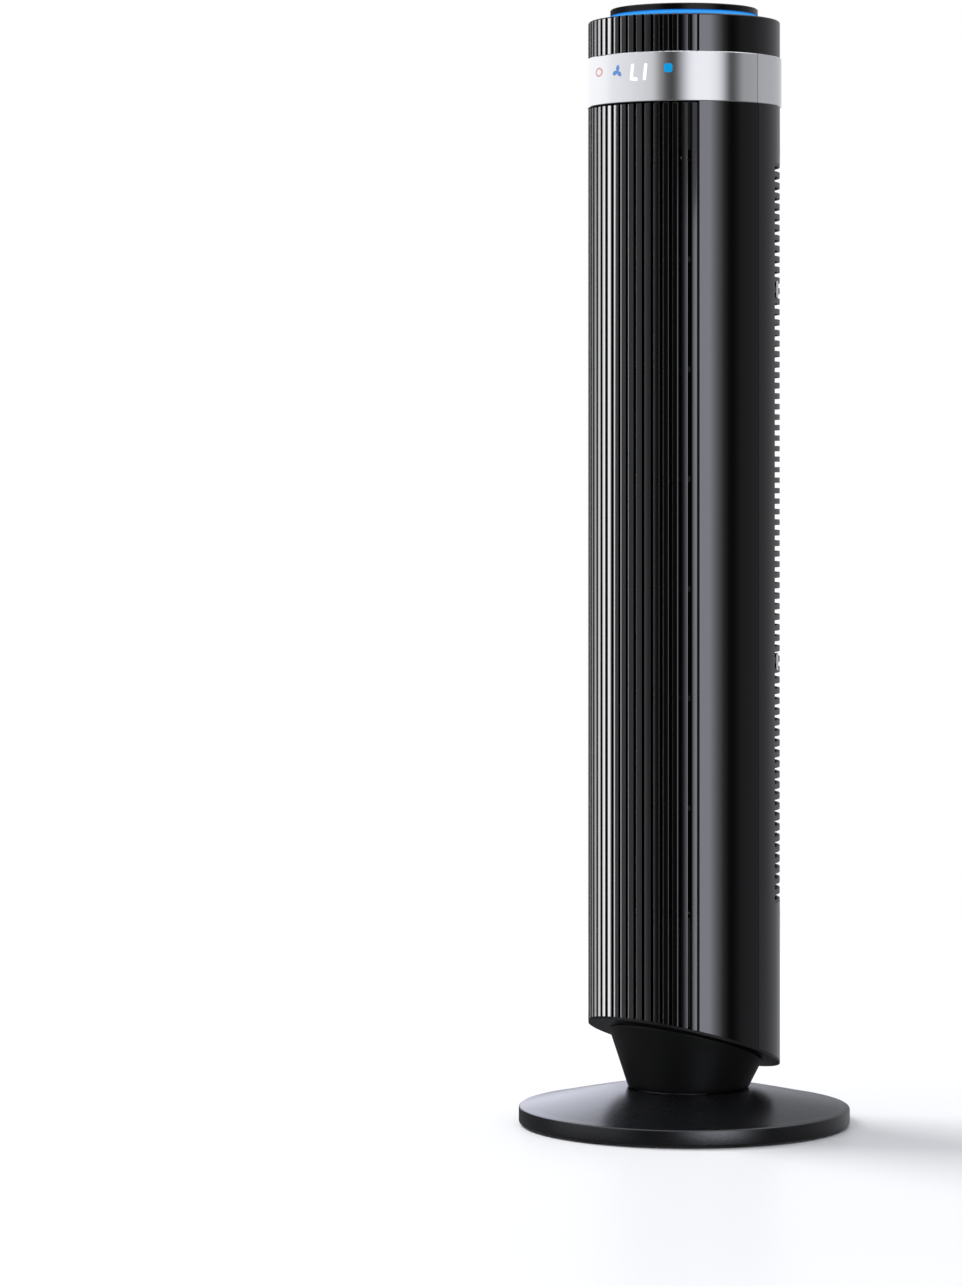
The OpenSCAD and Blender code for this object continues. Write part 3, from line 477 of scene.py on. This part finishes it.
def make_materials():
    """All materials, by slot name. Every node of the frame gets its slot's material."""
    steel = (0.56, 0.57, 0.59)
    flat = (700.0, 700.0, 40.0)
    round_z = (60.0, 60.0, 4000.0)
    made = {
        "base_black": moulded("base_black", (0.0028, 0.003, 0.0038), 0.27, 1400, 0.02, 0.03),
        "plate_black": moulded("plate_black", (0.02, 0.02, 0.022), 0.55, 700, 0.15),
        "weight_iron": moulded("weight_iron", (0.06, 0.06, 0.065), 0.7, 300, 0.6),
        "foot_rubber": moulded("foot_rubber", (0.012, 0.012, 0.012), 0.75, 500, 0.2, 0.05, 0.3),
        "screw_steel": brushed("screw_steel", (0.6, 0.61, 0.63), 0.3, flat),
        "screw_black": moulded("screw_black", (0.012, 0.012, 0.013), 0.35, 600, 0.05),
        "turned_steel": brushed("turned_steel", steel, 0.28, round_z),
        "gear_white": moulded("gear_white", (0.72, 0.7, 0.64), 0.45, 500, 0.05),
        "neck_black": moulded("neck_black", (0.0028, 0.003, 0.0034), 0.42, 1400, 0.04, 0.03, 0.4),
        "shell_black": moulded("shell_black", (0.0007, 0.0007, 0.0009), 0.07, 260, 0.003, 0.02),
        # The fins' reflection is turned down in the groove depths: painted shade.
        "fin_black": moulded("fin_black", (0.0005, 0.0005, 0.0006), 0.1, 300, 0.003, 0.02,
                             groove_shade_below=FIN_OUT - 0.5 * MM),
        "grille_black": moulded("grille_black", (0.003, 0.003, 0.0035), 0.32, 900, 0.05),
        "band_silver": brushed("band_silver", (0.76, 0.765, 0.775), 0.14, round_z, 0.02, 0.03),
        "board_green": circuit("board_green"),
        "digit_white": glowing("digit_white", (0.95, 0.98, 1.0), 1.3),
        "sign_red": glowing("sign_red", (0.9, 0.55, 0.52), 0.75),
        "sign_blue": glowing("sign_blue", (0.18, 0.38, 0.85), 0.75),
        "lamp_blue": glowing("lamp_blue", (0.004, 0.345, 0.79), 1.0),
        "ring_blue": glowing("ring_blue", (0.012, 0.22, 0.9), 1.05, 0.85, (RING_LOW, RING_HIGH)),
        "duct_black": moulded("duct_black", (0.002, 0.002, 0.0022), 0.7, 500, 0.1, 0.05, 0.1),
        "motor_grey": brushed("motor_grey", (0.4, 0.41, 0.43), 0.4, round_z),
        "coil_copper": brushed("coil_copper", (0.45, 0.18, 0.07), 0.35, round_z, 0.4),
        "bush_bronze": brushed("bush_bronze", (0.6, 0.42, 0.2), 0.4, round_z),
        "impeller_black": moulded("impeller_black", (0.003, 0.003, 0.0035), 0.5, 500, 0.05, 0.05, 0.2),
        "disc_black": moulded("disc_black", (0.0009, 0.0009, 0.0011), 0.2, 400, 0.003, 0.02, 0.3),
        "button_black": moulded("button_black", (0.014, 0.014, 0.016), 0.4, 1200, 0.05),
    }
    slots = {s["node"]: s["material_slot"] for s in frame["record"]["subparts"]}
    for name, node in NODES.items():
        node.data.materials.clear()
        node.data.materials.append(made[slots[name]])
    return made


# Mesh helpers ----------------------------------------------------------------------------

def finish_piece(name, bm, body, slot, materials, sharp, replaces=None):
    """Makes the object, rides it on its body and hides the frame's piece that it stands for."""
    bmesh.ops.remove_doubles(bm, verts=bm.verts, dist=1e-7)
    bmesh.ops.recalc_face_normals(bm, faces=bm.faces)
    mesh = bpy.data.meshes.new(name)
    bm.to_mesh(mesh)
    bm.free()
    mesh.shade_smooth()
    mesh.set_sharp_from_angle(angle=radians(sharp))
    mesh.materials.append(materials[slot])
    piece = bpy.data.objects.new(name, mesh)
    bpy.context.scene.collection.objects.link(piece)
    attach(piece, body)
    if replaces:
        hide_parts(replaces)
    return piece


def grid_faces(bm, rows, close_rows=False, close_columns=False):
    """Faces between rows of vertices; every row has the same number of them."""
    count = len(rows)
    for i in range(count if close_rows else count - 1):
        a, b = rows[i], rows[(i + 1) % count]
        width = len(a)
        for j in range(width if close_columns else width - 1):
            k = (j + 1) % width
            quad = []
            for v in (a[j], a[k], b[k], b[j]):
                if v not in quad:
                    quad.append(v)
            if len(quad) > 2:
                bm.faces.new(quad)


def lathe(bm, profile, steps, first=0.0, last=360.0):
    """Turns a closed outline of (radius, height) points about the Z axis."""
    whole = abs(last - first) >= 360
    count = steps if whole else steps + 1
    rows = []
    for i in range(count):
        a = radians(first + (last - first) * i / steps - 90)
        rows.append([bm.verts.new((r * cos(a), r * sin(a), z)) for r, z in profile])
    grid_faces(bm, rows, close_rows=whole, close_columns=True)
    if not whole:
        bm.faces.new(rows[0])
        bm.faces.new(rows[-1][::-1])


def arc(x, y, r, first, last, steps):
    """Points on a circle about (x, y), from one angle to another."""
    return [(x + r * cos(radians(a)), y + r * sin(radians(a)))
            for a in (first + (last - first) * i / steps for i in range(steps + 1))]


# Pieces ----------------------------------------------------------------------------------

def dome_z(t):
    """Height of the dome; t is 0 at its crown and 1 at the rim."""
    return CROWN_H - (CROWN_H - RIM_H) * t ** DOME_BEND


def make_base(materials):
    """The base disc's cover: rim, rounded edges, domed top and the bearing's well."""
    r_out = BASE_R - BASE_EDGE
    steps = 24
    shares = [1 - i / steps for i in range(1, steps + 1)]
    dome = [(CROWN_R + (r_out - CROWN_R) * t, dome_z(t)) for t in shares]
    under = [(r - 0.2 * MM, z - BASE_WALL) for r, z in reversed(dome)]
    profile = (
        arc(BASE_R - SKIRT_ROUND, SKIRT_Z + SKIRT_ROUND, SKIRT_ROUND, -90, 0, 5)
        + arc(BASE_R - RIM_ROUND, RIM_H - RIM_ROUND, RIM_ROUND, 0, 78, 6)
        + dome
        + [(WELL_R + WELL_EASE, CROWN_H), (WELL_R, CROWN_H - WELL_EASE), (WELL_R, WELL_Z),
           (WELL_HOLE_R, WELL_Z), (WELL_HOLE_R, WELL_Z - WELL_WALL),
           (WELL_R + WELL_WALL, WELL_Z - WELL_WALL), (WELL_R + WELL_WALL, CROWN_H - BASE_WALL)]
        + under
        + [(BASE_R - BASE_WALL, RIM_H - 4 * MM), (BASE_R - BASE_WALL, SKIRT_Z)])
    bm = bmesh.new()
    lathe(bm, profile, 320)
    return finish_piece("base_cover", bm, "base", "base_black", materials, 30, "base_shell")


def cone_point(turn, s, inset):
    """A point of the leaning neck cone at distance s along its axis."""
    lean = radians(LEAN_DEG)
    r = NECK_R0 - inset + NECK_SLOPE * s
    x, y = r * sin(turn), -r * cos(turn)
    return Vector((x, y * cos(lean) + s * sin(lean), NECK_PIVOT_Z + s * cos(lean) - y * sin(lean)))


def cone_at(turn, inset, above):
    """Distance along the axis at which above(point) turns positive."""
    low, high = 0.0, 120 * MM
    for _ in range(40):
        middle = (low + high) / 2
        if above(cone_point(turn, middle, inset)) > 0:
            high = middle
        else:
            low = middle
    return (low + high) / 2


def make_neck(materials):
    """The neck: a leaning cone cut along the tower's slant, with eased edges."""
    steps, ease = 256, NECK_EASE
    bm = bmesh.new()
    rows = []
    for i in range(steps):
        turn = 2 * pi * i / steps
        row = []
        for inset in (0.0, NECK_WALL):
            low = cone_at(turn, inset, lambda p: p.z - NECK_Z)
            high = cone_at(turn, inset, lambda p: p.z - cut_z(p.y, -NECK_GAP))
            if inset == 0.0:
                line = [(ease, low), (0.35 * ease, low + 0.1 * ease), (0.0, low + 0.6 * ease),
                        (0.0, low + 4 * ease)]
                line += [(0.0, low + (high - low) * k / 6) for k in range(1, 6)]
                line += [(0.0, high - 2.4 * ease), (0.0, high - 0.9 * ease), (0.3 * ease, high - 0.3 * ease),
                         (0.9 * ease, high - 0.1 * ease)]
            else:
                line = [(inset, high), (inset, low)]
            row += [cone_point(turn, s, k) for k, s in line]
        rows.append([bm.verts.new(p) for p in row])
    grid_faces(bm, rows, close_rows=True, close_columns=True)
    return finish_piece("neck_cone", bm, "tower", "neck_black", materials, 40, "neck_shell")


def fin_outline(out, inner, half, bulge, corner, steps=4):
    """One fin seen from above, as (distance from the axis, offset): a crowned face and two round corners."""
    points = [(inner, -half / 2)]
    points += arc(out - bulge - corner, -half + corner, corner, -90, -20, steps)
    points += [(out - bulge * (t * t), (half - corner) * t) for t in (-0.8, -0.4, 0.0, 0.4, 0.8)]
    points += arc(out - bulge - corner, half - corner, corner, 20, 90, steps)
    points += [(inner, half / 2)]
    return points


def add_fin(bm, turn, outline, rows_of):
    """A fin standing at an angle from the front. rows_of(point) gives each point's places, low to high."""
    a = radians(turn)
    out, side = Vector((sin(a), -cos(a), 0)), Vector((cos(a), sin(a), 0))
    columns = []
    for r, w in outline:
        places = rows_of(out, side, r, w)
        columns.append([bm.verts.new(out * reach + side * w + Vector((0, 0, z))) for reach, z in places])
    rows = [list(row) for row in zip(*columns)]
    grid_faces(bm, rows, close_columns=True)
    bm.faces.new(rows[0][::-1])
    bm.faces.new(rows[-1])


FIN_TURNS = [-FRONT_HALF + (i + 0.5) * 2 * FRONT_HALF / FIN_N for i in range(FIN_N)]


def add_arc_wall(bm, first, last, r_in, r_out, low, high, step=2.0):
    """A stretch of ring between two angles from the front; low is a height or a function of depth y."""
    count = max(2, int((last - first) / step))
    rows = []
    for i in range(count + 1):
        a = radians(first + (last - first) * i / count)
        row = []
        for r, top in ((r_in, False), (r_out, False), (r_out, True), (r_in, True)):
            x, y = r * sin(a), -r * cos(a)
            z = high if top else (low(y) if callable(low) else low)
            row.append(bm.verts.new((x, y, z)))
        rows.append(row)
    grid_faces(bm, rows, close_columns=True)
    bm.faces.new(rows[0])
    bm.faces.new(rows[-1][::-1])


def make_front_grille(materials):
    """Upright fins, and the hoops and side strips that hold them from behind."""
    outline = fin_outline(FIN_OUT, FIN_IN, FIN_W / 2, FIN_CROWN, FIN_CORNER)

    def rows_of(out, side, r, w):
        y = out.y * r + side.y * w
        low = cut_z(y, LIP_T - 0.2 * MM)
        ease = 0.5 * MM if r > FIN_IN else 0.0
        return [(r, low), (r, low + ease * 2), (r, GRILLE_TOP - ease * 2), (r - ease, GRILLE_TOP)]

    bm = bmesh.new()
    for turn in FIN_TURNS:
        add_fin(bm, turn, outline, rows_of)
    step = (DUCT_HIGH - DUCT_LOW) / (HOOP_N + 1)
    middles = [DUCT_LOW + i * step for i in range(1, HOOP_N + 1)]
    hoops = [(z - HOOP_H / 2, z + HOOP_H / 2) for z in middles]
    closed = [(lambda y: cut_z(y, LIP_T + 0.2 * MM), DUCT_LOW), (DUCT_HIGH, GRILLE_TOP)]
    for low, high in hoops + closed:
        add_arc_wall(bm, -FRONT_HALF - STRIP_DEG, FRONT_HALF + STRIP_DEG,
                     CORE_R - HOOP_T, CORE_R, low, high)
    for side in (-1, 1):
        first, last = sorted((side * (FRONT_HALF - 0.4), side * (FRONT_HALF + STRIP_DEG)))
        add_arc_wall(bm, first, last, FIN_IN + 0.5 * MM, TOWER_R - 2.9 * MM,
                     lambda y: cut_z(y, LIP_T + 0.2 * MM), GRILLE_TOP, 0.5)
    return finish_piece("front_fins", bm, "tower", "fin_black", materials, 38, "front_grille")


def cap_limit(z):
    """The cap's outer radius at height z: upright, then rounded over at the top."""
    rise = z - (TOWER_TOP - CAP_EDGE)
    return TOWER_R if rise <= 0 else TOWER_R - CAP_EDGE + sqrt(max(0.0, CAP_EDGE ** 2 - rise ** 2))


def make_top_cap(materials):
    """The cap: fluted in front like the grille, smooth elsewhere, and rounded over at its top edge."""
    bm = bmesh.new()
    edge = arc(TOWER_R - CAP_EDGE, TOWER_TOP - CAP_EDGE, CAP_EDGE, 0, 90, 8)
    wall_in = TOWER_R - 2.5 * MM
    under = TOWER_TOP - DECK_T
    lathe(bm, [(CORE_R - 2 * MM, CAP_Z), (CORE_R, CAP_Z), (CORE_R, TOWER_TOP - DECK_EASE),
               (CORE_R - DECK_EASE, TOWER_TOP), (DECK_HOLE_R + DECK_EASE, TOWER_TOP),
               (DECK_HOLE_R, TOWER_TOP - DECK_EASE), (DECK_HOLE_R, under), (CORE_R - 2 * MM, under)], 192)
    lathe(bm, [(wall_in, CAP_Z), (TOWER_R, CAP_Z)] + edge
          + [(CORE_R - 1 * MM, TOWER_TOP), (CORE_R - 1 * MM, under), (wall_in, under)],
          160, FRONT_HALF, 360 - FRONT_HALF)
    outline = fin_outline(FIN_OUT, FIN_IN, FIN_W / 2, FIN_CROWN, FIN_CORNER)
    heights = [CAP_Z] + [TOWER_TOP - CAP_EDGE + CAP_EDGE * sin(radians(a)) for a in range(0, 91, 15)]

    def rows_of(out, side, r, w):
        reach = sqrt(r * r + w * w)
        return [(r * min(1.0, (cap_limit(z) - 0.1 * MM) / reach), z) for z in heights]

    for turn in FIN_TURNS:
        add_fin(bm, turn, outline, rows_of)
    return finish_piece("cap_flutes", bm, "tower", "fin_black", materials, 38, "top_cap")


def rounded_outline(w, h, r, steps=5):
    """A rounded rectangle about the origin."""
    points = []
    for x, y, first in ((w / 2 - r, h / 2 - r, 0), (r - w / 2, h / 2 - r, 90), (r - w / 2, r - h / 2, 180),
                        (w / 2 - r, r - h / 2, 270)):
        points += arc(x, y, r, first, first + 90, steps)
    return points


def make_clips(materials):
    """Silver plates over the four clip pads beside the rear grille: a raised frame round a sunk middle."""
    bm = bmesh.new()
    levels = ((CLIP_W, CLIP_H, 1.6 * MM, 0.0), (CLIP_W, CLIP_H, 1.6 * MM, 0.7 * CLIP_T),
              (CLIP_W - 0.5 * MM, CLIP_H - 0.5 * MM, 1.4 * MM, CLIP_T),
              (CLIP_W - 2.2 * MM, CLIP_H - 3 * MM, 0.9 * MM, CLIP_T),
              (CLIP_W - 2.8 * MM, CLIP_H - 3.6 * MM, 0.7 * MM, 0.35 * CLIP_T))
    for side in (-1, 1):
        for z in CLIP_Z:
            rows = []
            for w, h, r, lift in levels:
                row = []
                for x, up in rounded_outline(w, h, r):
                    a = radians(side * CLIP_DEG) + x / TOWER_R
                    reach = TOWER_R + 0.02 * MM + lift
                    row.append(bm.verts.new((reach * sin(a), -reach * cos(a), z + up)))
                rows.append(row)
            grid_faces(bm, rows, close_columns=True)
            bm.faces.new(rows[0][::-1])
            bm.faces.new(rows[-1])
    return finish_piece("clip_plates", bm, "tower", "band_silver", materials, 30)


make_camera()
make_studio()
make_floor()
make_light()
MATERIALS = make_materials()
BASE = make_base(MATERIALS)
CLIPS = make_clips(MATERIALS)
make_neck(MATERIALS)
FINS = make_front_grille(MATERIALS)
CAP = make_top_cap(MATERIALS)
SHELLS = [NODES[name] for name in ("front_shell", "rear_shell")]
BANDS = [CLIPS] + [NODES[name] for name in ("band_front", "band_rear")]
make_strip("strip_front", STRIP_FRONT, [BASE, FINS, CAP] + SHELLS, COOL_LIGHT)
make_strip("strip_left", STRIP_LEFT, [FINS, CAP], PLAIN_LIGHT)
make_strip("strip_back", STRIP_BACK, [BASE], COOL_LIGHT, 0.03)
make_strip("strip_band", STRIP_BAND, BANDS, PLAIN_LIGHT)
